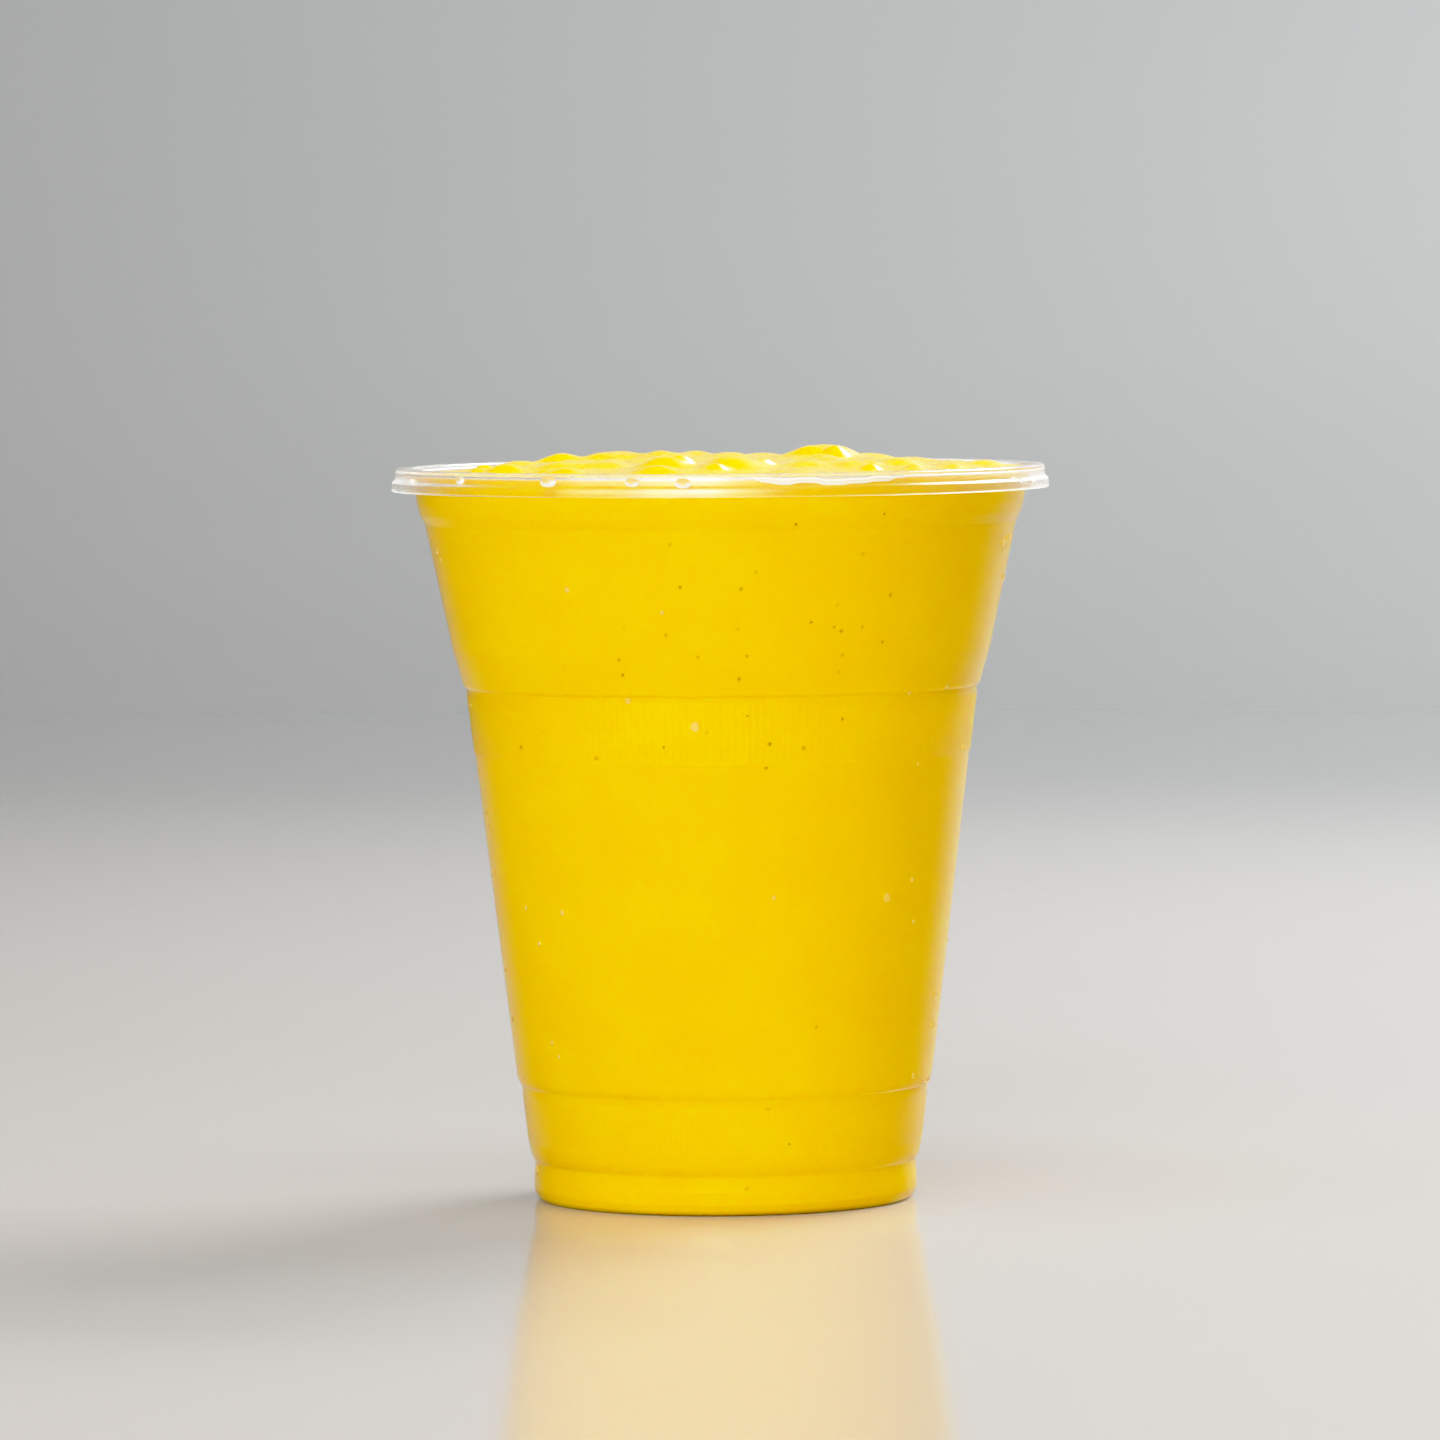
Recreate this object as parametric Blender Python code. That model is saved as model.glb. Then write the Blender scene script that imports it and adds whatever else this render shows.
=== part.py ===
"""A clear disposable cup, filled over its brim with thick yellow juice.

Metres, +Z up. The origin is the centre of the ring that the cup stands on, and +X is to the right in the front view.
"""

import math

import bmesh
import bpy
import numpy as np
from mathutils.geometry import delaunay_2d_cdt

# Cup
CUP_HEIGHT = 0.106
RIM_DIAMETER = 0.095
WALL = 0.0005
SIDES = 72

# The rolled rim: the wall turns over a half-round top into a short skirt, which ends in a small outward lip.
RIM_ROUND = 0.0014
LIP_REACH = 0.00055
LIP_HEIGHT = 0.0013
LIP_CHAMFER = 0.0002
SKIRT_HEIGHT = 0.0033
RIM_ARC_STEPS = 4

# The outside of the wall from the middle of the base to the start of the rim, as (radius, height).
WALL_OUTSIDE = (
    (0.0, 0.0020),  # raised base panel
    (0.0240, 0.0018),
    (0.0254, 0.0),  # standing ring
    (0.0266, 0.0),
    (0.0273, 0.0005),  # bulged foot
    (0.0277, 0.0016),
    (0.0277, 0.0034),
    (0.0275, 0.0056),  # waist above the foot
    (0.0283, 0.0071),  # lower band
    (0.0294, 0.0166),
    (0.0301, 0.0182),  # shoulder, then the long taper
    (0.0368, 0.0739),
    (0.0374, 0.0749),  # step out, then the flared top of the wall
    (0.0388, 0.0796),
    (0.0427, 0.0978),
    (0.0435, 0.1002),  # collar under the rim
    (0.0440, 0.1021),
)

# Juice
GAP = 0.0003
SURFACE_GRID = 0.0021
EDGE_LEVEL = 0.1050
CROWN = 0.0017
SLOPE_TO_RIGHT = 0.006

# The lumps that stand out along the top, as (x, y, radius, rise).
MAIN_LUMPS = (
    (0.0150, 0.004, 0.0090, 0.0016),  # the tallest mound, with its two peaks
    (0.0130, 0.003, 0.0040, 0.0006),
    (0.0174, 0.004, 0.0042, 0.0007),
    (-0.0285, 0.006, 0.0046, 0.0009),
    (-0.0235, 0.008, 0.0042, 0.0018),
    (-0.0190, 0.009, 0.0040, 0.0004),
    (-0.0148, 0.010, 0.0060, 0.0017),
    (-0.0088, 0.006, 0.0050, 0.0012),
    (-0.0037, 0.010, 0.0042, 0.0014),
    (0.0010, 0.006, 0.0050, 0.0009),
    (0.0062, 0.011, 0.0050, 0.0010),
    (0.0222, 0.010, 0.0050, 0.0012),
    (0.0285, 0.004, 0.0044, 0.0008),
    (0.0345, 0.002, 0.0050, 0.0006),
    (0.0385, -0.002, 0.0044, 0.0010),
)

# Smaller lumps are strewn over the rest of the surface.
STREWN_LUMPS = 46
STREWN_RADII = (0.0035, 0.0060)
STREWN_RISES = (0.0002, 0.0006)
STREWN_SEED = 7

JUICE_COLOUR = (0.90, 0.60, 0.003)
CUP_COLOUR = (0.95, 0.96, 0.96)


def clear_scene():
    """Remove whatever the scene holds."""
    for obj in list(bpy.data.objects):
        bpy.data.objects.remove(obj, do_unlink=True)


def new_material(name, colour, roughness, transmission):
    """A Principled material without metal."""
    material = bpy.data.materials.new(name)
    material.use_nodes = True
    shader = material.node_tree.nodes["Principled BSDF"]
    shader.inputs["Base Color"].default_value = (*colour, 1.0)
    shader.inputs["Roughness"].default_value = roughness
    shader.inputs["Metallic"].default_value = 0.0
    shader.inputs["Transmission Weight"].default_value = transmission
    return material


def inset(outline, distance):
    """The outline moved inwards by a distance, each corner along its mitre."""
    points = np.array(outline)
    runs = np.diff(points, axis=0)
    runs /= np.linalg.norm(runs, axis=1)[:, None]
    inwards = np.stack([-runs[:, 1], runs[:, 0]], axis=1)
    before = np.vstack([inwards[:1], inwards])
    after = np.vstack([inwards, inwards[-1:]])
    mitre = before + after
    mitre *= 2 * distance / (mitre**2).sum(axis=1)[:, None]
    moved = points + mitre
    moved[0, 0] = 0.0
    return [tuple(point) for point in moved]


def arc(centre, radius, start, end, steps):
    """Points on an arc in the section's plane, angles in degrees, 0 pointing outwards."""
    angles = [math.radians(start + (end - start) * step / steps) for step in range(steps + 1)]
    return [
        (centre[0] + radius * math.cos(angle), centre[1] + radius * math.sin(angle)) for angle in angles
    ]


def rim_section():
    """The rim from the wall's outside, under the skirt and lip, and over the top to the wall's inside."""
    lip = RIM_DIAMETER / 2
    centre = (lip - LIP_REACH - RIM_ROUND, CUP_HEIGHT - RIM_ROUND)
    hollow = RIM_ROUND - WALL
    bottom = CUP_HEIGHT - SKIRT_HEIGHT
    lip_top = bottom + LIP_HEIGHT
    under = arc(centre, hollow, 180, 0, RIM_ARC_STEPS)
    skirt = [
        (centre[0] + hollow, bottom),
        (lip - LIP_CHAMFER, bottom),
        (lip, bottom + LIP_CHAMFER),
        (lip, lip_top - LIP_CHAMFER),
        (lip - LIP_CHAMFER, lip_top),
        (lip - LIP_REACH, lip_top + LIP_CHAMFER),
    ]
    over = arc(centre, RIM_ROUND, 0, 180, RIM_ARC_STEPS)
    return under + skirt + over


def turned(section):
    """A bmesh of the section turned once round the Z axis."""
    mesh = bmesh.new()
    points = [mesh.verts.new((radius, 0.0, height)) for radius, height in section]
    edges = [mesh.edges.new(pair) for pair in zip(points, points[1:])]
    bmesh.ops.spin(
        mesh,
        geom=points + edges,
        cent=(0, 0, 0),
        axis=(0, 0, 1),
        angle=2 * math.pi,
        steps=SIDES,
        use_duplicate=False,
    )
    bmesh.ops.remove_doubles(mesh, verts=mesh.verts, dist=1e-6)
    return mesh


def finished(name, mesh, material):
    """Turn a bmesh into a named object, its faces pointing out and its round surfaces smooth."""
    bmesh.ops.recalc_face_normals(mesh, faces=mesh.faces)
    data = bpy.data.meshes.new(name)
    mesh.to_mesh(data)
    mesh.free()
    data.materials.append(material)
    data.shade_smooth()
    data.set_sharp_from_angle(angle=math.radians(40))
    obj = bpy.data.objects.new(name, data)
    bpy.context.scene.collection.objects.link(obj)
    return obj


def make_cup():
    """The thin cup, one skin from its raised base panel to the lip of its rolled rim."""
    outside = list(WALL_OUTSIDE)
    inside = inset(outside, WALL)
    section = outside + rim_section() + inside[::-1]
    return finished("cup", turned(section), new_material("clear_plastic", CUP_COLOUR, 0.08, 1.0))


def strewn_lumps():
    """Lumps at even random over the disc of the surface."""
    draw = np.random.default_rng(STREWN_SEED)
    lumps = []
    for _ in range(STREWN_LUMPS):
        reach = 0.93 * WALL_OUTSIDE[-1][0] * math.sqrt(draw.random())
        bearing = draw.uniform(0, 2 * math.pi)
        radius = draw.uniform(*STREWN_RADII)
        rise = draw.uniform(*STREWN_RISES)
        lumps.append((reach * math.cos(bearing), reach * math.sin(bearing), radius, rise))
    return lumps


def surface_height(x, y, lumps, brim):
    """Height of the juice's top: a low crown, a little higher to the right, with round lumps on it."""
    height = EDGE_LEVEL + SLOPE_TO_RIGHT * x + CROWN * (1 - (x * x + y * y) / brim**2)
    for lump_x, lump_y, radius, rise in lumps:
        away = ((x - lump_x) ** 2 + (y - lump_y) ** 2) / radius**2
        if away < 1:
            height += rise * (1 - away) ** 2
    return height


def surface_points(brim):
    """Points of an even triangular grid inside the brim."""
    row_step = SURFACE_GRID * math.sqrt(3) / 2
    rows = int(brim / row_step)
    points = []
    for row in range(-rows, rows + 1):
        shift = SURFACE_GRID / 2 if row % 2 else 0.0
        columns = int(brim / SURFACE_GRID) + 1
        for column in range(-columns, columns + 1):
            x = column * SURFACE_GRID + shift
            y = row * row_step
            if math.hypot(x, y) < brim - 0.7 * SURFACE_GRID:
                points.append((x, y))
    return points


def make_juice():
    """The juice: it fills the cup to the brim, and its lumpy top stands above the rim."""
    side = inset(WALL_OUTSIDE, WALL + GAP)
    brim = side[-1][0] + (CUP_HEIGHT - RIM_ROUND - side[-1][1]) * 0.2
    lumps = list(MAIN_LUMPS) + strewn_lumps()
    mesh = turned(side + [(brim, EDGE_LEVEL)])
    ring = [vert for vert in mesh.verts if len(vert.link_edges) == 3 and vert.co.z > EDGE_LEVEL - 1e-6]
    ring.sort(key=lambda vert: math.atan2(vert.co.y, vert.co.x))
    flat = [(vert.co.x, vert.co.y) for vert in ring] + surface_points(brim)
    places, _, triangles, _, _, _ = delaunay_2d_cdt(flat, [], [], 0, 1e-9)
    top = [mesh.verts.new((x, y, EDGE_LEVEL)) for x, y in places]
    for corners in triangles:
        mesh.faces.new([top[corner] for corner in corners])
    bmesh.ops.remove_doubles(mesh, verts=top + ring, dist=1e-6)
    for vert in mesh.verts:
        if vert.co.z > EDGE_LEVEL - 1e-6:
            vert.co.z = surface_height(vert.co.x, vert.co.y, lumps, brim)
    return finished("juice", mesh, new_material("yellow_juice", JUICE_COLOUR, 0.25, 0.0))


def main():
    clear_scene()
    make_cup()
    make_juice()


main()
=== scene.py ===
"""The looks of a clear disposable cup that is filled over its brim with thick yellow juice.

Metres, +Z up. The origin is the centre of the ring that the cup stands on.
+X is to the right in the photograph, and -Y is towards its viewer.
"""

import math

import bpy
import numpy as np
from mathutils import Matrix, Vector
from mathutils.bvhtree import BVHTree


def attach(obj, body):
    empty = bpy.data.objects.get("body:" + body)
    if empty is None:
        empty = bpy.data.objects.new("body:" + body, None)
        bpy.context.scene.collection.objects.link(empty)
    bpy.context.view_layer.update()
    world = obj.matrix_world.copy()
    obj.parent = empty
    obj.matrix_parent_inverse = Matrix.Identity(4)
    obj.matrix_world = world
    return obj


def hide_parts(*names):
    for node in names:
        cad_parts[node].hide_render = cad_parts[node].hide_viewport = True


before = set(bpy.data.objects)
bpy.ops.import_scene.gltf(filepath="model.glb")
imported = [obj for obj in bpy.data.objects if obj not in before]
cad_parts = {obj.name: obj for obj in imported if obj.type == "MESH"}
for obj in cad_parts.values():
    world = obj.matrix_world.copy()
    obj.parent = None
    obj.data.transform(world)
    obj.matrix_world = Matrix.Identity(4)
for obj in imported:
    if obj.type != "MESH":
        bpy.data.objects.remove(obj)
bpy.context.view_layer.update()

# Camera, from the photograph's 1440 x 1440 frame
PHOTO_SIDE = 1440
SENSOR = 36.0
LENS = 225.0
CAMERA_PLACE = (-0.0003, -1.30, 0.139)
CAMERA_PITCH = 3.073
CAMERA_ROLL = -0.45

# Cup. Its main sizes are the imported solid's. Its wall has more stations, and its corners are rounded.
CUP_HEIGHT = 0.106
RIM_DIAMETER = 0.095
WALL = 0.0005

# The outside of the wall from the middle of the base to the rim.
# Each station is (radius, height, fillet of the corner there).
WALL_OUTSIDE = (
    (0.0, 0.0020, 0.0),  # raised base panel
    (0.0240, 0.0018, 0.0008),
    (0.0254, 0.0, 0.00035),  # standing ring
    (0.0266, 0.0, 0.0004),
    (0.0273, 0.0005, 0.0008),  # bulged foot
    (0.0277, 0.0016, 0.0014),
    (0.0277, 0.0034, 0.0012),
    (0.0275, 0.0056, 0.0003),  # waist above the foot
    (0.02785, 0.0061, 0.0010),
    (0.02815, 0.0068, 0.0020),
    (0.0284, 0.0080, 0.0040),  # lower band
    (0.0294, 0.0166, 0.0002),
    (0.02972, 0.0170, 0.0010),  # rounded shoulder, then the long taper
    (0.02995, 0.0176, 0.0020),
    (0.03012, 0.0186, 0.0060),
    (0.03032, 0.0200, 0.0),
    (0.0369, 0.0742, 0.0001),
    (0.0373, 0.0745, 0.0003),  # step out, then the flared top of the wall
    (0.0388, 0.0796, 0.0040),
    (0.0427, 0.0979, 0.0010),  # a slight step to the upright collar under the rim
    (0.0434, 0.0993, 0.0010),
    (0.0438, 0.1008, 0.0010),
    (0.0440, 0.1021, 0.0020),
    (0.0442, 0.1032, 0.0),
)
FILLET_STEPS = 4
FILLET_SHARE = 0.48  # of the stretch beside a corner, at most
LEAST_BEND = 0.5  # degrees, under which a corner stays as it is
RING_START = 2  # the station of the standing ring's inner edge
AT_AXIS = 1e-7  # a radius this small is none

# The rolled rim, which ends in a skirt with a small outward lip
RIM_ROUND = 0.0014
RIM_CORNER = 0.0010
RIM_CORNER_STEPS = 8
LIP_REACH = 0.00055
LIP_HEIGHT = 0.0013
LIP_ROUND = 0.00035
LIP_DRAFT = 0.0001
SKIRT_HEIGHT = 0.0033
SKIRT_DRAFT = 0.00006

# Fine upright ribs in two bands of the wall, as (bottom, top, relief)
RIBS = 222
POINTS_PER_RIB = 4
RIB_BANDS = ((0.0646, 0.0736, 0.00006), (0.0085, 0.0155, 0.00003))
RIB_FADE = 0.0005

# The cup's materials, in the order of its slots
PLAIN_WALL, SKIRT, ROLL, RIBBED_WALL = range(4)

# Juice
JUICE_REACH = 0.00025  # into the wall
RIB_SHARE_IN_JUICE = 0.8
BRIM_STEP = 0.0002
EDGE_LEVEL = 0.1050
CROWN = 0.0020
SLOPE_TO_RIGHT = 0.006
MENISCUS_RISE = 0.0003
MENISCUS_REACH = 0.0006
SURFACE_RING_STEP = 0.0005
FEWEST_RING_POINTS = RIBS // 6

# The lumps that stand out along the top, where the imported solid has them, as (x, y, radius, rise)
MAIN_LUMPS = (
    (0.0150, 0.004, 0.0090, 0.0014),  # the tallest mound, with its two peaks
    (0.0130, 0.003, 0.0040, 0.0006),
    (0.0174, 0.004, 0.0042, 0.0007),
    (-0.0285, 0.006, 0.0046, 0.0007),
    (-0.0235, 0.008, 0.0042, 0.0015),
    (-0.0190, 0.009, 0.0040, 0.0003),
    (-0.0148, 0.010, 0.0066, 0.0014),
    (-0.0088, 0.006, 0.0056, 0.0009),
    (-0.0037, 0.010, 0.0046, 0.0011),
    (0.0010, 0.006, 0.0056, 0.0006),
    (0.0062, 0.011, 0.0056, 0.0007),
    (0.0222, 0.010, 0.0056, 0.0009),
    (0.0285, 0.004, 0.0048, 0.0006),
    (0.0345, 0.002, 0.0050, 0.0005),
    (0.0385, -0.002, 0.0044, 0.0009),
)

# More lumps, most of them nearer the front, which only the visual model has, as (x, y, radius, rise)
FRONT_LUMPS = (
    (-0.0099, -0.033, 0.0048, 0.0009), (-0.0078, -0.022, 0.0056, 0.0016),
    (-0.0013, -0.031, 0.0028, 0.0005), (0.0019, -0.025, 0.0066, 0.0016),
    (0.0090, -0.034, 0.0032, 0.0005), (0.0209, -0.028, 0.0026, 0.0005),
    (0.0257, -0.016, 0.0056, 0.0011), (0.0277, -0.026, 0.0028, 0.0005),
    (-0.0232, -0.016, 0.0056, 0.0011), (-0.0222, -0.030, 0.0045, 0.0009),
    (-0.0166, -0.016, 0.0052, 0.0009), (0.0125, -0.022, 0.0050, 0.0009),
    (-0.0305, -0.018, 0.0048, 0.0009), (0.0340, -0.013, 0.0048, 0.0008),
    (0.0178, -0.020, 0.0045, 0.0007), (-0.0048, -0.021, 0.0026, 0.0007),
    (0.0000, -0.031, 0.0024, 0.0006), (0.0216, -0.027, 0.0024, 0.0006),
    (0.0275, -0.024, 0.0026, 0.0007), (-0.0218, -0.012, 0.0026, 0.0007),
    (-0.0247, -0.024, 0.0026, 0.0007), (0.0168, 0.000, 0.0028, 0.0008),
    (0.0062, -0.022, 0.0026, 0.0006), (-0.0345, -0.012, 0.0026, 0.0007),
)

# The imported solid's lumps that are strewn over the rest of the surface
STREWN_LUMPS = 46
STREWN_REACH = 0.93  # of the wall's reach
STREWN_RADII = (0.0035, 0.0060)
STREWN_RISES = (0.0002, 0.0006)
STREWN_SEED = 7

# Still smaller lumps, also in the visual model alone
FINE_LUMPS = 50
FINE_REACH = 0.95
FINE_RADII = (0.0018, 0.0032)
FINE_RISES = (0.0001, 0.0005)
FINE_SHARE_BEHIND = 0.4
FINE_SEED = 11

# Water drops on the wall, as (x, y, radius), the first two in pixels of the photograph
DROPS_SEEN = (
    (1004, 545, 0.0009), (1008, 540, 0.0009), (1003, 577, 0.0006), (494, 873, 0.0005), (495, 881, 0.0004),
    (432, 541, 0.0003), (437, 552, 0.0003), (441, 560, 0.0003), (471, 705, 0.0004), (479, 772, 0.0004),
    (487, 812, 0.0004), (489, 826, 0.0003), (506, 970, 0.0004), (513, 1020, 0.0004), (528, 1112, 0.0004),
    (530, 1127, 0.0004), (538, 1170, 0.0006), (936, 995, 0.0006), (933, 1025, 0.0006), (922, 1084, 0.0005),
    (928, 1080, 0.0004), (913, 1076, 0.0004), (962, 745, 0.0006), (695, 727, 0.0007), (887, 898, 0.0007),
    (912, 880, 0.0004), (913, 922, 0.0004), (567, 590, 0.0005), (662, 613, 0.0004),
    (628, 701, 0.0005), (562, 913, 0.0005), (526, 908, 0.0004), (539, 944, 0.0004), (552, 1043, 0.0004),
    (559, 1057, 0.0003), (774, 898, 0.0004), (909, 693, 0.0004), (947, 687, 0.0004), (918, 764, 0.0003),
)

# Flat drops on the rim's skirt, in the same way
RIM_DROPS_SEEN = (
    (412, 482, 0.0008), (460, 481, 0.0009), (548, 482, 0.0013), (572, 478, 0.0004), (632, 483, 0.0010),
    (683, 484, 0.0012), (1013, 479, 0.0006), (1022, 481, 0.0007), (1034, 482, 0.0006),
)
RIM_DROP_HEIGHT = 0.6  # as a share of its width

# The form of a drop
CONTACT_ANGLE = 62.0
SAG = 1.15
SUNK_SHARE = 0.04
DROP_RINGS = 6
DROP_SIDES = 20
DROP_CREASE = 50.0
CAP_DEPTH = 1.5  # of the closed underside, against how far the edge is sunk
RAY_START = 0.1  # from the axis, well clear of the cup

# Fine drops on the half of the wall that the photograph doesn't show
FINE_DROPS = 75
FINE_DROP_RADII = (0.00012, 0.00042)
FINE_DROP_HEIGHTS = (0.004, 0.101)
FINE_DROP_RINGS = 4
FINE_DROP_SIDES = 12
FINE_DROP_SEED = 3

# A wavy ridge of water along the rim, as (x, y, half width), the first two in pixels of the photograph
RIDGE_SEEN = (
    (750, 477.5, 0.00005), (766, 480, 0.0004), (783, 481.5, 0.0005), (805, 480, 0.0004),
    (835, 482, 0.00045), (858, 480.5, 0.0004), (880, 478.5, 0.0004), (905, 477, 0.0001),
)
RIDGE_STEPS = 60
RIDGE_SIDES = 12
RIDGE_BULGE = 0.6
RIDGE_BLEND = 9.0  # pixels

# Dark specks under the wall, as (x, y) pixels of the photograph
SPECKS_SEEN = (
    (796, 524), (756, 572), (741, 589), (738, 629), (837, 605), (811, 622), (834, 627), (841, 631),
    (862, 627), (864, 643), (882, 642), (842, 655), (839, 672), (739, 679), (747, 656), (698, 657),
    (666, 635), (680, 587), (670, 544), (619, 660), (623, 675), (624, 627), (561, 690), (542, 732),
    (522, 747), (597, 758), (664, 747), (707, 733), (747, 716), (804, 748), (769, 744), (766, 768),
    (842, 719), (890, 595), (863, 554), (884, 514), (816, 1027), (789, 1144), (747, 1189), (768, 1109),
)
SPECK_RADII = (0.00024, 0.00038)
SPECK_ANGLE = 20.0
SPECK_SHAPES = (0.7, 1.3)  # height as a share of width
SPECK_SUNK_SHARE = 0.06
SPECK_RINGS = 2
SPECK_SIDES = 8
SPECKS_STREWN = 40
SPECK_HEIGHTS = (0.006, 0.100)
SPECK_SEED = 8

# Colours, in linear light
PLASTIC_TINT = (0.985, 0.99, 0.99, 1)
SKIRT_TINT = (1.0, 1.0, 1.0, 1)
ROLL_TINT = (0.965, 0.97, 0.97, 1)
WATER_TINT = (1, 1, 1, 1)
# Painted caustic highlights of the water: flat diffuse colours, white on the rim and a bright yellow,
# lighter than the juice, on the wall
WHITE_PAINTED_CAUSTIC = (1.0, 1.0, 0.92, 1)
YELLOW_PAINTED_CAUSTIC = (1.0, 0.72, 0.16, 1)
JUICE_SHADES = ((0.3, (0.90, 0.538, 0.0, 1)), (0.7, (0.93, 0.572, 0.0, 1)))
STAGE_SHADES = ((0.3, (0.485, 0.456, 0.437, 1)), (0.7, (0.50, 0.47, 0.450, 1)))

# Light's way through the materials
WATER_IOR = 1.333
JUICE_IOR = 1.36
JUICE_DEPTH = 0.0007
JUICE_SCATTER = (1.0, 0.45, 0.05)
RIPPLE_SCALE = 60.0
PLASTIC_RIPPLE = 0.05
HAZE_LEAST = 0.7  # of the stated roughness
HAZE_MOST = 1.3
FINEST_RELIEF = 0.0001
EDGE_BLEND = 0.2
TOP_BLEND = 0.35

# Stage: a floor that curves up into a backdrop
SWEEP_WIDTH = 6.0
SWEEP_FRONT = -3.0
SWEEP_BACK = 1.3
SWEEP_ROUND = 0.9
SWEEP_TOP = 3.0
SWEEP_STEPS = 24

# Lamps, as (name, place, target, size, watts, spread of the beam in degrees, colour)
WARM = (1.0, 0.98, 0.94)
NEUTRAL = (1.0, 0.99, 0.97)
COOL = (0.82, 0.94, 1.0)
SOFTBOXES = (
    ("key_box", (-0.26, -1.13, 0.50), (0, 0, 0.05), (0.6, 0.7), 7.8, 180, WARM),
    ("front_box", (-0.38, -1.07, 0.27), (0, 0, 0.05), (1.5, 0.14), 4.3, 180, NEUTRAL),  # sheen of the skirt
    ("foot_box", (-0.10, -1.05, 0.20), (0, 0, -0.03), (1.6, 0.3), 0.25, 24, WARM),
    ("top_box", (-0.05, -0.30, 1.2), (0, 0, 0.1), (1.5, 0.6), 10.4, 180, WARM),
    ("side_box", (0.72, 0.62, 0.95), (0, 0, 0.06), (0.5, 0.5), 3.6, 100, NEUTRAL),  # behind on the right
    ("crest_box", (0.50, 0.90, 0.80), (0, 0, 0.10), (0.4, 0.3), 4.0, 100, NEUTRAL),  # glints on the lumps
    ("sweep_box", (1.2, 0.4, 0.9), (0.5, 2.1, 0.6), (1.0, 1.0), 28.5, 130, COOL),  # for the backdrop
)
SURROUND_COLOUR = (0.98, 0.98, 1.0, 1.0)
SURROUND_STRENGTH = 0.10

# Film curve: light in the scene against light in the picture
FILM_WHITE = 1.6
FILM_CURVE = (
    (0.04, 0.0), (0.08, 0.045), (0.13, 0.118), (0.386, 0.386), (0.64, 0.638), (0.75, 0.733), (1.08, 0.91),
)
MOST_BOUNCES = 32
GLOSSY_BOUNCES = 12


def srgb(red, green, blue):
    """A linear colour from 8-bit screen values."""
    def linear(value):
        share = value / 255
        return share / 12.92 if share <= 0.04045 else ((share + 0.055) / 1.055) ** 2.4

    return (linear(red), linear(green), linear(blue), 1.0)


# Camera


def make_camera():
    """The camera at the photograph's angle, with a slight roll."""
    data = bpy.data.cameras.new("camera")
    data.sensor_width = SENSOR
    data.lens = LENS
    camera = bpy.data.objects.new("camera", data)
    turn = Matrix.Rotation(math.radians(90 - CAMERA_PITCH), 4, "X")
    roll = Matrix.Rotation(math.radians(CAMERA_ROLL), 4, "Z")
    camera.matrix_world = Matrix.Translation(CAMERA_PLACE) @ turn @ roll
    bpy.context.scene.collection.objects.link(camera)
    bpy.context.scene.camera = camera
    return camera


def photo_ray(camera, x, y):
    """Origin and direction of the ray through a pixel of the photograph."""
    focal = LENS / SENSOR * PHOTO_SIDE
    aim = Vector(((x - PHOTO_SIDE / 2) / focal, (PHOTO_SIDE / 2 - y) / focal, -1.0))
    return camera.matrix_world.translation, (camera.matrix_world.to_3x3() @ aim).normalized()


# Outlines: lists of (radius, height)


def inset(outline, distance):
    """The outline moved inwards by a distance, each corner along its mitre."""
    points = np.array(outline)
    runs = np.diff(points, axis=0)
    runs /= np.linalg.norm(runs, axis=1)[:, None]
    inwards = np.stack([-runs[:, 1], runs[:, 0]], axis=1)
    before = np.vstack([inwards[:1], inwards])
    after = np.vstack([inwards, inwards[-1:]])
    mitre = before + after
    mitre *= 2 * distance / (mitre**2).sum(axis=1)[:, None]
    moved = points + mitre
    moved[0, 0] = 0.0
    return [tuple(point) for point in moved]


def rounded(outline, fillets, steps):
    """The outline with each corner turned into a smooth curve of about its fillet radius."""
    points = [outline[0]]
    for before, corner, after, fillet in zip(outline, outline[1:], outline[2:], fillets[1:]):
        corner = Vector(corner)
        back = Vector(before) - corner
        ahead = Vector(after) - corner
        bend = math.pi - back.angle(ahead)
        if fillet == 0 or bend < math.radians(LEAST_BEND):
            points.append(tuple(corner))
            continue
        reach = min(fillet * math.tan(bend / 2), FILLET_SHARE * back.length, FILLET_SHARE * ahead.length)
        start = corner + back.normalized() * reach
        end = corner + ahead.normalized() * reach
        for step in range(steps + 1):
            share = step / steps
            bezier = start * (1 - share) ** 2 + corner * 2 * share * (1 - share) + end * share**2
            points.append(tuple(bezier))
    points.append(outline[-1])
    return points


def with_rows_at(outline, heights):
    """The outline with a point added at each height, on the last stretch of it that passes there."""
    points = list(outline)
    for height in heights:
        for index in range(len(points) - 1, 0, -1):
            low, high = points[index - 1], points[index]
            if low[1] < height < high[1]:
                share = (height - low[1]) / (high[1] - low[1])
                points.insert(index, (low[0] + share * (high[0] - low[0]), height))
                break
    return points


def wall_outline(depth):
    """The wall's outline at a depth below its outside, with rows where the ribs start and end."""
    sharp = [(radius, height) for radius, height, _ in WALL_OUTSIDE]
    fillets = [fillet for _, _, fillet in WALL_OUTSIDE]
    if depth:
        sharp = inset(sharp, depth)
    heights = [
        height for low, high, _ in RIB_BANDS for height in (low, low + RIB_FADE, high - RIB_FADE, high)
    ]
    return with_rows_at(rounded(sharp, fillets, FILLET_STEPS), heights)


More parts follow.
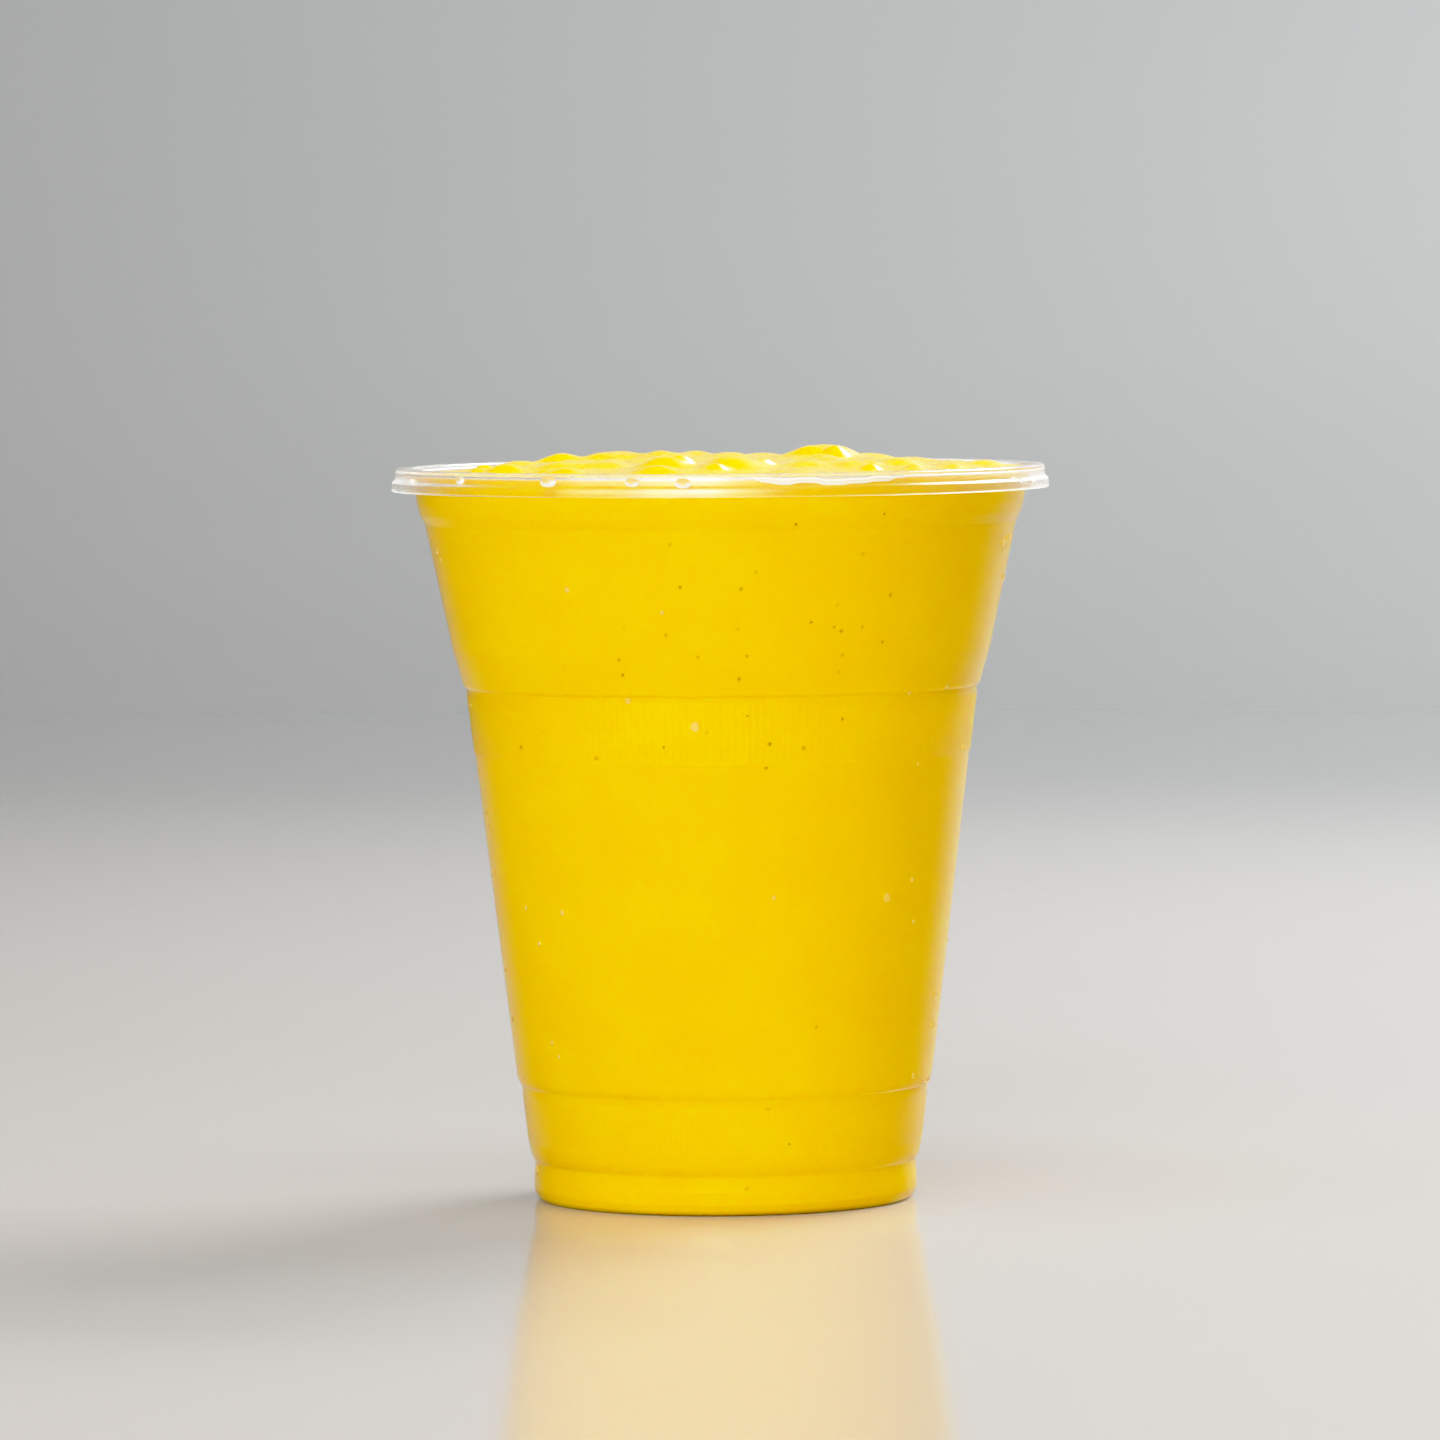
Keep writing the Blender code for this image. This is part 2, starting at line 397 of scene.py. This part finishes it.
def rim_outline():
    """The rim from the wall's outside, under the skirt and lip, and over the top to the wall's inside."""
    lip = RIM_DIAMETER / 2
    middle = lip - LIP_REACH - SKIRT_DRAFT - RIM_ROUND
    shoulder = CUP_HEIGHT - RIM_ROUND
    hollow = RIM_ROUND - WALL
    bottom = CUP_HEIGHT - SKIRT_HEIGHT
    lip_top = bottom + LIP_HEIGHT
    skirt_top = CUP_HEIGHT - RIM_CORNER
    under = [
        (middle - hollow, shoulder),
        (middle - hollow, CUP_HEIGHT - WALL),
        (middle + hollow, CUP_HEIGHT - WALL),
        (middle + hollow, shoulder),
    ]
    edge = [
        (middle + hollow, shoulder),
        (middle + hollow + SKIRT_DRAFT, bottom),
        (lip, bottom),
        (lip - LIP_DRAFT, lip_top),
        (lip - LIP_REACH, lip_top + LIP_ROUND),
        (middle + RIM_ROUND, skirt_top),
    ]
    over = [
        (middle + RIM_ROUND, skirt_top),
        (middle + RIM_ROUND - SKIRT_DRAFT, CUP_HEIGHT),
        (middle - RIM_ROUND, CUP_HEIGHT),
        (middle - RIM_ROUND, shoulder),
    ]
    inner_corner = RIM_CORNER - WALL
    return (
        rounded(under, [0, inner_corner, inner_corner], RIM_CORNER_STEPS)[:-1]
        + rounded(edge, [0, LIP_ROUND, LIP_ROUND, LIP_ROUND, LIP_ROUND / 2], FILLET_STEPS)[:-1]
        + rounded(over, [0, RIM_CORNER, RIM_CORNER], RIM_CORNER_STEPS)
    )


# Turned meshes


def rib_relief(height):
    """How far the ribs stand out at a height."""
    for low, high, relief in RIB_BANDS:
        if low < height < high:
            share = min(height - low, high - height) / RIB_FADE
            return relief * min(share, 1.0)
    return 0.0


def ring_points(radius, height, count, relief):
    """One ring of a turned mesh, with ribs where the relief isn't 0. At the axis it is one point."""
    if radius < AT_AXIS:
        return [(0.0, 0.0, height)]
    turns = [2 * math.pi * step / count for step in range(count)]
    reaches = [radius + relief * (1 + math.cos(RIBS * turn)) for turn in turns]
    return [(reach * math.cos(turn), reach * math.sin(turn), height) for reach, turn in zip(reaches, turns)]


def outline_rings(outline, relief_share):
    """A ring for each point of an outline, finer in the ribbed bands, with a share of the ribs' relief."""
    rings = []
    for radius, height in outline:
        relief = relief_share * rib_relief(height)
        count = RIBS * POINTS_PER_RIB if relief else RIBS
        rings.append(ring_points(radius, height, count, relief))
    return rings


def bridge(low_start, low_count, high_start, high_count):
    """Faces between two rings of which one may have several times the points of the other."""
    if low_count == 1 or high_count == 1:
        hub, start, count = (
            (low_start, high_start, high_count) if low_count == 1 else (high_start, low_start, low_count)
        )
        fan = [(hub, start + (step + 1) % count, start + step) for step in range(count)]
        return fan if low_count == 1 else [face[::-1] for face in fan]
    steps = min(low_count, high_count)
    low_each = low_count // steps
    high_each = high_count // steps
    faces = []
    for step in range(steps):
        low = [low_start + (step * low_each + extra) % low_count for extra in range(low_each + 1)]
        high = [high_start + (step * high_each + extra) % high_count for extra in range(high_each + 1)]
        faces.append(low + high[::-1])
    return faces


def turned(rings):
    """Points and faces of a mesh of rings, joined in order."""
    points = []
    faces = []
    last = None
    for ring in rings:
        start = len(points)
        points.extend(ring)
        if last is not None:
            faces.extend(bridge(*last, start, len(ring)))
        last = (start, len(ring))
    return points, faces


def new_piece(name, points, faces, materials):
    """A smooth mesh object with these materials."""
    mesh = bpy.data.meshes.new(name)
    mesh.from_pydata(points, [], faces)
    mesh.validate()
    mesh.shade_smooth()
    for material in materials:
        mesh.materials.append(material)
    piece = bpy.data.objects.new(name, mesh)
    bpy.context.scene.collection.objects.link(piece)
    return piece


# Cup


def mid_wall_reach(height):
    """The radius half way through the wall at a height."""
    radii = [station[0] for station in WALL_OUTSIDE[RING_START:]]
    heights = [station[1] for station in WALL_OUTSIDE[RING_START:]]
    return float(np.interp(height, heights, radii)) - WALL / 2


def cup_region(centre):
    """Which of the cup's materials a face with this centre has."""
    wall_reach, wall_top, _ = WALL_OUTSIDE[-1]
    reach = centre.xy.length
    if centre.z > CUP_HEIGHT - RIM_CORNER:
        return ROLL
    if centre.z > wall_top or reach > wall_reach + WALL / 2:
        return SKIRT
    if rib_relief(centre.z) and reach > mid_wall_reach(centre.z):
        return RIBBED_WALL
    return PLAIN_WALL


def make_cup():
    """The thin cup: ribbed bands on the outside, a rolled rim, and a plain inside."""
    outside = outline_rings(wall_outline(0.0), 1.0)
    rim_and_inside = outline_rings(rim_outline() + wall_outline(WALL)[::-1], 0.0)
    materials = [wall_plastic(), skirt_plastic(), roll_plastic(), ribbed_plastic()]
    cup = new_piece("cup_shell", *turned(outside + rim_and_inside), materials)
    for face in cup.data.polygons:
        face.material_index = cup_region(face.center)
    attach(cup, "root")
    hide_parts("cup")
    return cup


# Juice


def random_lump(draw, most_reach, radii, rises):
    """A lump at even random over the disc of the surface, with its bearing."""
    reach = most_reach * WALL_OUTSIDE[-1][0] * math.sqrt(draw.random())
    bearing = draw.uniform(0, 2 * math.pi)
    radius = draw.uniform(*radii)
    rise = draw.uniform(*rises)
    return (reach * math.cos(bearing), reach * math.sin(bearing), radius, rise), bearing


def strewn_lumps():
    """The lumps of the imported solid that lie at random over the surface."""
    draw = np.random.default_rng(STREWN_SEED)
    return [random_lump(draw, STREWN_REACH, STREWN_RADII, STREWN_RISES)[0] for _ in range(STREWN_LUMPS)]


def fine_lumps():
    """Small lumps between the others, lower behind the middle."""
    draw = np.random.default_rng(FINE_SEED)
    lumps = []
    for _ in range(FINE_LUMPS):
        (x, y, radius, rise), bearing = random_lump(draw, FINE_REACH, FINE_RADII, FINE_RISES)
        if math.sin(bearing) > 0:
            rise *= FINE_SHARE_BEHIND
        lumps.append((x, y, radius, rise))
    return lumps


def surface_heights(x, y, brim, lumps):
    """Heights of the juice's top over arrays of places.

    It is a low crown, a little higher to the right, with round lumps on it and a meniscus at the wall."""
    reach = np.hypot(x, y)
    heights = EDGE_LEVEL + SLOPE_TO_RIGHT * x + CROWN * (1 - (reach / brim) ** 2)
    for lump_x, lump_y, radius, rise in lumps:
        away = ((x - lump_x) ** 2 + (y - lump_y) ** 2) / radius**2
        heights += rise * np.clip(1 - away, 0, None) ** 2
    return heights + MENISCUS_RISE * np.exp((reach - brim) / MENISCUS_REACH)


def surface_rings(brim, lumps):
    """Rings of the juice's top from the wall to the middle, with fewer points the nearer they are to it."""
    rings = []
    count = 2 * RIBS
    radius = brim
    while count >= FEWEST_RING_POINTS:
        halving = count > RIBS // 2
        inner = radius / 2 if halving else radius / 3
        step = (radius - inner) / math.ceil((radius - inner) / SURFACE_RING_STEP)
        reach = radius
        while reach > inner + 0.5 * step:
            turns = 2 * np.pi * np.arange(count) / count
            x = reach * np.cos(turns)
            y = reach * np.sin(turns)
            rings.append(list(zip(x, y, surface_heights(x, y, brim, lumps))))
            reach -= step
        radius = inner
        count = count // 2 if halving else count // 3
    top = surface_heights(np.zeros(1), np.zeros(1), brim, lumps)[0]
    rings.append([(0.0, 0.0, top)])
    return rings


def make_juice():
    """The juice. Its side reaches just into the wall, and its lumpy, wet top stands above the rim."""
    side = wall_outline(WALL - JUICE_REACH)
    side_reach, side_top = side[-1]
    brim = side_reach + BRIM_STEP
    lumps = list(MAIN_LUMPS) + list(FRONT_LUMPS) + strewn_lumps() + fine_lumps()
    rings = outline_rings(side, RIB_SHARE_IN_JUICE) + surface_rings(brim, lumps)
    juice = new_piece("juice_body", *turned(rings), [juice_at_wall(), juice_top()])
    for face in juice.data.polygons:
        if face.center.z > side_top:
            face.material_index = 1
    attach(juice, "root")
    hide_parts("juice")
    return juice


# Drops and specks


def tree_of(piece):
    """A tree of a piece's faces, for finding where a ray meets it."""
    places = [vert.co for vert in piece.data.vertices]
    faces = [face.vertices[:] for face in piece.data.polygons]
    return BVHTree.FromPolygons(places, faces)


def frame_on(normal):
    """Unit vectors across and down a surface with this normal."""
    across = normal.cross(Vector((0, 0, -1))).normalized()
    down = across.cross(normal).normalized() * -1
    return across, down


def cap(centre, normal, radius, angle, height, sag, sunk, sides, rings):
    """Points and faces of a closed cap that meets a surface at an angle, its edge sunk a little below it.

    Height is its extent up and down the surface, as a share of its width.
    Its lower half is sag times as long."""
    across, down = frame_on(normal)
    ball = radius / math.sin(math.radians(angle))
    edge_level = math.cos(math.radians(angle))
    points = []
    faces = []
    for ring in range(rings):
        tilt = math.radians(angle) * (1 - ring / rings)
        reach = ball * math.sin(tilt)
        lift = ball * (math.cos(tilt) - edge_level) - sunk
        for side in range(sides):
            turn = 2 * math.pi * side / sides
            drop = reach * math.sin(turn) * height * (sag if math.sin(turn) > 0 else 1.0)
            place = across * (reach * math.cos(turn)) + down * drop
            points.append(centre + place + normal * lift)
    top = len(points)
    points.append(centre + normal * (ball * (1 - edge_level) - sunk))
    bottom = len(points)
    points.append(centre - normal * (CAP_DEPTH * sunk))
    for ring in range(rings - 1):
        for side in range(sides):
            after = (side + 1) % sides
            low = ring * sides
            faces.append((low + side, low + after, low + sides + after, low + sides + side))
    last = (rings - 1) * sides
    for side in range(sides):
        after = (side + 1) % sides
        faces.append((last + side, last + after, top))
        faces.append((after, side, bottom))
    return points, faces


def joined(parts):
    """Points and faces of several small meshes as one."""
    points = []
    faces = []
    for part_points, part_faces in parts:
        start = len(points)
        points.extend(part_points)
        faces.extend([tuple(start + index for index in face) for face in part_faces])
    return points, faces


def seen_at(camera, tree, x, y):
    """The place on a surface that is seen at a pixel of the photograph, with its normal."""
    place, normal, _, _ = tree.ray_cast(*photo_ray(camera, x, y))
    return place, normal


def strewn_on_wall(tree, draw, low, high):
    """A random place on the half of the wall that the photograph doesn't show, with its normal."""
    turn = draw.uniform(0, math.pi)
    height = draw.uniform(low, high)
    out = Vector((math.cos(turn), math.sin(turn), 0))
    start = out * RAY_START + Vector((0, 0, height))
    place, normal, _, _ = tree.ray_cast(start, -out)
    return place, normal


def ridge(camera, tree):
    """Points and faces of the wavy ridge of water along the rim."""
    seen = np.array(RIDGE_SEEN)
    points = []
    faces = []
    for step in range(RIDGE_STEPS + 1):
        x = seen[0, 0] + (seen[-1, 0] - seen[0, 0]) * step / RIDGE_STEPS
        nearness = np.exp(-(((seen[:, 0] - x) / RIDGE_BLEND) ** 2))
        y, radius = (nearness[:, None] * seen[:, 1:]).sum(axis=0) / nearness.sum()
        centre, normal = seen_at(camera, tree, x, y)
        _, down = frame_on(normal)
        for side in range(RIDGE_SIDES):
            turn = math.pi * side / (RIDGE_SIDES - 1)
            lift = RIDGE_BULGE * radius * math.sin(turn) - SUNK_SHARE * radius
            points.append(centre + down * (radius * math.cos(turn)) + normal * lift)
    for step in range(RIDGE_STEPS):
        for side in range(RIDGE_SIDES):
            after = (side + 1) % RIDGE_SIDES
            low = step * RIDGE_SIDES
            faces.append((low + side, low + after, low + RIDGE_SIDES + after, low + RIDGE_SIDES + side))
    faces.append(tuple(range(RIDGE_SIDES))[::-1])
    faces.append(tuple(range(RIDGE_STEPS * RIDGE_SIDES, (RIDGE_STEPS + 1) * RIDGE_SIDES)))
    return points, faces


def drop_at(camera, tree, x, y, radius, height):
    """A drop of water that is seen at a pixel of the photograph."""
    place, normal = seen_at(camera, tree, x, y)
    sunk = radius * SUNK_SHARE
    return cap(place, normal, radius, CONTACT_ANGLE, height, SAG, sunk, DROP_SIDES, DROP_RINGS)


def wet_piece(name, points, faces, material):
    """A piece of water on the cup."""
    piece = new_piece(name, points, faces, [material])
    piece.data.set_sharp_from_angle(angle=math.radians(DROP_CREASE))
    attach(piece, "root")


def make_rim_water(camera, tree):
    """The flat drops and the wavy ridge of water on the rim's skirt."""
    parts = [drop_at(camera, tree, x, y, radius, RIM_DROP_HEIGHT) for x, y, radius in RIM_DROPS_SEEN]
    wet_piece("rim_drops", *joined(parts), rim_water())
    wet_piece("rim_ridge", *ridge(camera, tree), ridge_water())


def fine_drop(tree, draw):
    """A fine, round drop at a random place behind."""
    place, normal = strewn_on_wall(tree, draw, *FINE_DROP_HEIGHTS)
    radius = draw.uniform(*FINE_DROP_RADII)
    sunk = radius * SUNK_SHARE
    return cap(place, normal, radius, CONTACT_ANGLE, 1.0, 1.0, sunk, FINE_DROP_SIDES, FINE_DROP_RINGS)


def make_wall_drops(camera, tree):
    """Drops of water on the wall: those that the photograph shows, and fine ones behind."""
    parts = [drop_at(camera, tree, x, y, radius, 1.0) for x, y, radius in DROPS_SEEN]
    draw = np.random.default_rng(FINE_DROP_SEED)
    parts += [fine_drop(tree, draw) for _ in range(FINE_DROPS)]
    wet_piece("wall_drops", *joined(parts), wall_water())


def make_specks(camera, tree):
    """Dark specks at the side of the juice, just under the wall."""
    draw = np.random.default_rng(SPECK_SEED)
    places = [seen_at(camera, tree, x, y) for x, y in SPECKS_SEEN]
    places += [strewn_on_wall(tree, draw, *SPECK_HEIGHTS) for _ in range(SPECKS_STREWN)]
    parts = []
    for place, normal in places:
        radius = draw.uniform(*SPECK_RADII)
        height = draw.uniform(*SPECK_SHAPES)
        sunk = radius * SPECK_SUNK_SHARE
        parts.append(cap(place, normal, radius, SPECK_ANGLE, height, 1.0, sunk, SPECK_SIDES, SPECK_RINGS))
    specks = new_piece("juice_specks", *joined(parts), [dark_fibre()])
    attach(specks, "root")


# Shader nodes


def new_material(name):
    """A material with an empty node tree, its nodes and links, and its output node."""
    material = bpy.data.materials.new(name)
    material.use_nodes = True
    nodes = material.node_tree.nodes
    nodes.clear()
    return material, nodes, material.node_tree.links, nodes.new("ShaderNodeOutputMaterial")


def noise_node(nodes, links, scale, detail):
    """A noise texture in the object's own space."""
    place = nodes.new("ShaderNodeTexCoord")
    noise = nodes.new("ShaderNodeTexNoise")
    noise.inputs["Scale"].default_value = scale
    noise.inputs["Detail"].default_value = detail
    links.new(place.outputs["Object"], noise.inputs["Vector"])
    return noise


def ramp_node(nodes, links, source, stops):
    """A colour ramp with two stops, each (place, colour)."""
    ramp = nodes.new("ShaderNodeValToRGB")
    for element, (place, colour) in zip(ramp.color_ramp.elements, stops):
        element.position = place
        element.color = colour
    links.new(source, ramp.inputs["Fac"])
    return ramp


def range_node(nodes, links, source, before, after):
    """A value from one range spread over another, and held at its ends."""
    spread = nodes.new("ShaderNodeMapRange")
    spread.inputs["From Min"].default_value, spread.inputs["From Max"].default_value = before
    spread.inputs["To Min"].default_value, spread.inputs["To Max"].default_value = after
    links.new(source, spread.inputs["Value"])
    return spread


def bump_node(nodes, links, source, strength):
    """Fine relief from a height."""
    bump = nodes.new("ShaderNodeBump")
    bump.inputs["Strength"].default_value = strength
    bump.inputs["Distance"].default_value = FINEST_RELIEF
    links.new(source, bump.inputs["Height"])
    return bump


def mix_node(nodes, links, share, first, second):
    """Two shaders mixed, with the second one's share."""
    mix = nodes.new("ShaderNodeMixShader")
    links.new(share, mix.inputs["Fac"])
    links.new(first, mix.inputs[1])
    links.new(second, mix.inputs[2])
    return mix.outputs["Shader"]


def lamps_pass(nodes, links, seen, tint):
    """The shader for what is seen, and plain see-through for light on its way to what is inside."""
    path = nodes.new("ShaderNodeLightPath")
    clear = nodes.new("ShaderNodeBsdfTransparent")
    clear.inputs["Color"].default_value = tint
    for kind in ("Is Shadow Ray", "Is Diffuse Ray"):
        seen = mix_node(nodes, links, path.outputs[kind], seen, clear.outputs["BSDF"])
    return seen


def clear_shader(nodes, links, colour, ior, clearness, roughness, ripple):
    """A clear body with a faint waviness. Clearness under 1 makes it a little milky."""
    shader = nodes.new("ShaderNodeBsdfPrincipled")
    shader.inputs["Base Color"].default_value = colour
    shader.inputs["Transmission Weight"].default_value = clearness
    shader.inputs["IOR"].default_value = ior
    noise = noise_node(nodes, links, scale=RIPPLE_SCALE, detail=2.0)
    haze_ends = (roughness * HAZE_LEAST, roughness * HAZE_MOST)
    haze = range_node(nodes, links, noise.outputs["Fac"], (0.0, 1.0), haze_ends)
    links.new(haze.outputs["Result"], shader.inputs["Roughness"])
    bump = bump_node(nodes, links, noise.outputs["Fac"], ripple)
    links.new(bump.outputs["Normal"], shader.inputs["Normal"])
    return lamps_pass(nodes, links, shader.outputs["BSDF"], colour)


def outward_tilt(nodes, links, facing):
    """The cosine of the angle between a surface's normal and straight out from the cup's axis."""
    flat = nodes.new("ShaderNodeVectorMath")
    flat.operation = "MULTIPLY"
    flat.inputs[1].default_value = (1, 1, 0)
    links.new(facing.outputs["Position"], flat.inputs[0])
    outwards = nodes.new("ShaderNodeVectorMath")
    outwards.operation = "NORMALIZE"
    links.new(flat.outputs["Vector"], outwards.inputs[0])
    tilt = nodes.new("ShaderNodeVectorMath")
    tilt.operation = "DOT_PRODUCT"
    links.new(facing.outputs["Normal"], tilt.inputs[0])
    links.new(outwards.outputs["Vector"], tilt.inputs[1])
    return tilt.outputs["Value"]


def painted_caustic_share(nodes, links, start, top, most):
    """The share of a painted caustic highlight, a flat colour that starts where the cosine of a drop's tilt
    falls under start.

    It ends above, where the drop's normal rises by top, and most is its greatest value."""
    facing = nodes.new("ShaderNodeNewGeometry")
    tilt = outward_tilt(nodes, links, facing)
    edge = range_node(nodes, links, tilt, (start, start - EDGE_BLEND), (0.0, 1.0))
    parts = nodes.new("ShaderNodeSeparateXYZ")
    links.new(facing.outputs["Normal"], parts.inputs["Vector"])
    below = range_node(nodes, links, parts.outputs["Z"], (top, top - TOP_BLEND), (0.0, most))
    share = nodes.new("ShaderNodeMath")
    share.operation = "MULTIPLY"
    links.new(edge.outputs["Result"], share.inputs[0])
    links.new(below.outputs["Result"], share.inputs[1])
    return share.outputs["Value"]


# Materials


def clear_material(name, colour, ior, roughness, clearness=1.0):
    """Clear, faintly wavy plastic that lets the lamps' light through."""
    material, nodes, links, output = new_material(name)
    shader = clear_shader(nodes, links, colour, ior, clearness, roughness, PLASTIC_RIPPLE)
    links.new(shader, output.inputs["Surface"])
    return material


def wall_plastic():
    """The cup's thin, clear wall."""
    return clear_material("wall_plastic", PLASTIC_TINT, ior=1.25, roughness=0.22)


def skirt_plastic():
    """The rim's skirt, which shows a soft sheen."""
    return clear_material("skirt_plastic", SKIRT_TINT, ior=1.4, roughness=0.20)


def roll_plastic():
    """The rolled top of the rim, a little milky."""
    return clear_material("roll_plastic", ROLL_TINT, ior=1.46, roughness=0.15, clearness=0.92)


def ribbed_plastic():
    """The outside of the ribbed bands, which reflects more than the wall, so that the ribs show."""
    return clear_material("rib_plastic", PLASTIC_TINT, ior=1.43, roughness=0.22)


def water_material(name, caustic_colour, start, top, most):
    """Clear water with a painted caustic highlight: a flat diffuse colour at the sides and lower edge,
    where a real drop gathers light.
    """
    material, nodes, links, output = new_material(name)
    clear = clear_shader(nodes, links, WATER_TINT, WATER_IOR, clearness=1.0, roughness=0.0, ripple=0.0)
    share = painted_caustic_share(nodes, links, start, top, most)
    # painted caustic highlight: a flat diffuse colour in place of the light that a drop focuses
    caustic_paint = nodes.new("ShaderNodeBsdfDiffuse")
    caustic_paint.inputs["Color"].default_value = caustic_colour
    links.new(mix_node(nodes, links, share, clear, caustic_paint.outputs["BSDF"]), output.inputs["Surface"])
    return material


def rim_water():
    """Drops on the skirt, with a painted white caustic highlight below and clear above."""
    return water_material("rim_water", WHITE_PAINTED_CAUSTIC, start=1.0, top=0.45, most=0.9)


def ridge_water():
    """The ridge of water, with a painted white highlight nearly all over."""
    return water_material("ridge_water", WHITE_PAINTED_CAUSTIC, start=1.1, top=0.95, most=0.85)


def wall_water():
    """Drops on the wall, with a little painted caustic highlight in a bright yellow, lighter than the
    juice.
    """
    return water_material("wall_water", YELLOW_PAINTED_CAUSTIC, start=1.2, top=1.4, most=0.25)


def juice_material(name, gloss, wet_coat, roughness, grain_depth):
    """Thick, opaque, golden-yellow juice. Roughness is a range, over which its grain spreads."""
    material, nodes, links, output = new_material(name)
    shader = nodes.new("ShaderNodeBsdfPrincipled")
    cloud = noise_node(nodes, links, scale=90.0, detail=3.0)
    ramp = ramp_node(nodes, links, cloud.outputs["Fac"], JUICE_SHADES)
    links.new(ramp.outputs["Color"], shader.inputs["Base Color"])
    shader.inputs["Subsurface Weight"].default_value = 1.0
    shader.inputs["Subsurface Radius"].default_value = JUICE_SCATTER
    shader.inputs["Subsurface Scale"].default_value = JUICE_DEPTH
    shader.inputs["IOR"].default_value = JUICE_IOR
    shader.inputs["Specular IOR Level"].default_value = gloss
    shader.inputs["Coat Weight"].default_value = wet_coat
    shader.inputs["Coat Roughness"].default_value = 0.06
    shader.inputs["Coat IOR"].default_value = JUICE_IOR
    grain = noise_node(nodes, links, scale=900.0, detail=2.0)
    wet = range_node(nodes, links, grain.outputs["Fac"], (0.0, 1.0), roughness)
    links.new(wet.outputs["Result"], shader.inputs["Roughness"])
    bump = bump_node(nodes, links, grain.outputs["Fac"], grain_depth)
    links.new(bump.outputs["Normal"], shader.inputs["Normal"])
    links.new(shader.outputs["BSDF"], output.inputs["Surface"])
    return material


def juice_at_wall():
    """The juice's side, which lies against the wall and so has no gloss of its own."""
    return juice_material("juice_side", gloss=0.0, wet_coat=0.0, roughness=(0.3, 0.5), grain_depth=0.08)


def juice_top():
    """The juice's wet, open top."""
    return juice_material("juice_top", gloss=0.3, wet_coat=0.38, roughness=(0.26, 0.29), grain_depth=0.002)


def dark_fibre():
    """Fruit fibre, browner and darker than the juice."""
    material, nodes, links, output = new_material("dark_specks")
    shader = nodes.new("ShaderNodeBsdfPrincipled")
    cloud = noise_node(nodes, links, scale=700.0, detail=1.0)
    shades = ((0.35, srgb(192, 142, 2)), (0.65, srgb(220, 170, 2)))
    ramp = ramp_node(nodes, links, cloud.outputs["Fac"], shades)
    links.new(ramp.outputs["Color"], shader.inputs["Base Color"])
    shader.inputs["Roughness"].default_value = 0.6
    shader.inputs["Specular IOR Level"].default_value = 0.0
    links.new(shader.outputs["BSDF"], output.inputs["Surface"])
    return material


def stage_paper():
    """Pale, slightly glossy table top and backdrop."""
    material, nodes, links, output = new_material("stage_paper")
    shader = nodes.new("ShaderNodeBsdfPrincipled")
    noise = noise_node(nodes, links, scale=3.0, detail=2.0)
    ramp = ramp_node(nodes, links, noise.outputs["Fac"], STAGE_SHADES)
    links.new(ramp.outputs["Color"], shader.inputs["Base Color"])
    shader.inputs["Roughness"].default_value = 0.12
    shader.inputs["IOR"].default_value = 1.5
    links.new(shader.outputs["BSDF"], output.inputs["Surface"])
    return material


# Stage, lamps and film


def make_stage():
    """A floor that curves up into a backdrop, well behind the cup."""
    outline = [(SWEEP_FRONT, 0.0), (SWEEP_BACK, 0.0)]
    for step in range(1, SWEEP_STEPS + 1):
        turn = math.pi / 2 * step / SWEEP_STEPS
        outline.append((SWEEP_BACK + SWEEP_ROUND * math.sin(turn), SWEEP_ROUND * (1 - math.cos(turn))))
    outline.append((SWEEP_BACK + SWEEP_ROUND, SWEEP_TOP))
    half = SWEEP_WIDTH / 2
    points = [(side, y, z) for y, z in outline for side in (-half, half)]
    faces = [(2 * step, 2 * step + 1, 2 * step + 3, 2 * step + 2) for step in range(len(outline) - 1)]
    new_piece("stage_sweep", points, faces, [stage_paper()])


def add_softbox(name, place, target, size, watts, spread, colour):
    """A soft rectangular lamp that the camera doesn't see, its beam spread over an angle in degrees."""
    data = bpy.data.lights.new(name, "AREA")
    data.shape = "RECTANGLE"
    data.size, data.size_y = size
    data.energy = watts
    data.spread = math.radians(spread)
    data.color = colour
    lamp = bpy.data.objects.new(name, data)
    lamp.location = place
    lamp.rotation_euler = (Vector(target) - Vector(place)).to_track_quat("-Z", "Y").to_euler()
    lamp.visible_camera = False
    bpy.context.scene.collection.objects.link(lamp)


def light_stage():
    """The lamps and a dim, pale surround."""
    for softbox in SOFTBOXES:
        add_softbox(*softbox)
    world = bpy.data.worlds.new("surround")
    world.use_nodes = True
    background = world.node_tree.nodes["Background"]
    background.inputs["Color"].default_value = SURROUND_COLOUR
    background.inputs["Strength"].default_value = SURROUND_STRENGTH
    bpy.context.scene.world = world


def set_film():
    """Plain colours on a gentle film curve, and enough bounces for light to get out of the clear rim."""
    view = bpy.context.scene.view_settings
    view.view_transform = "Standard"
    view.look = "None"
    view.use_curve_mapping = True
    curves = view.curve_mapping
    curves.white_level = (FILM_WHITE, FILM_WHITE, FILM_WHITE)
    combined = curves.curves[3]
    for scene_value, shown in FILM_CURVE:
        combined.points.new(scene_value / FILM_WHITE, shown)
    curves.update()
    cycles = bpy.context.scene.cycles
    cycles.max_bounces = MOST_BOUNCES
    cycles.transmission_bounces = MOST_BOUNCES
    cycles.transparent_max_bounces = MOST_BOUNCES
    cycles.glossy_bounces = GLOSSY_BOUNCES


def main():
    """Build everything."""
    set_film()
    camera = make_camera()
    cup = make_cup()
    juice = make_juice()
    cup_tree = tree_of(cup)
    make_rim_water(camera, cup_tree)
    make_wall_drops(camera, cup_tree)
    make_specks(camera, tree_of(juice))
    make_stage()
    light_stage()


main()
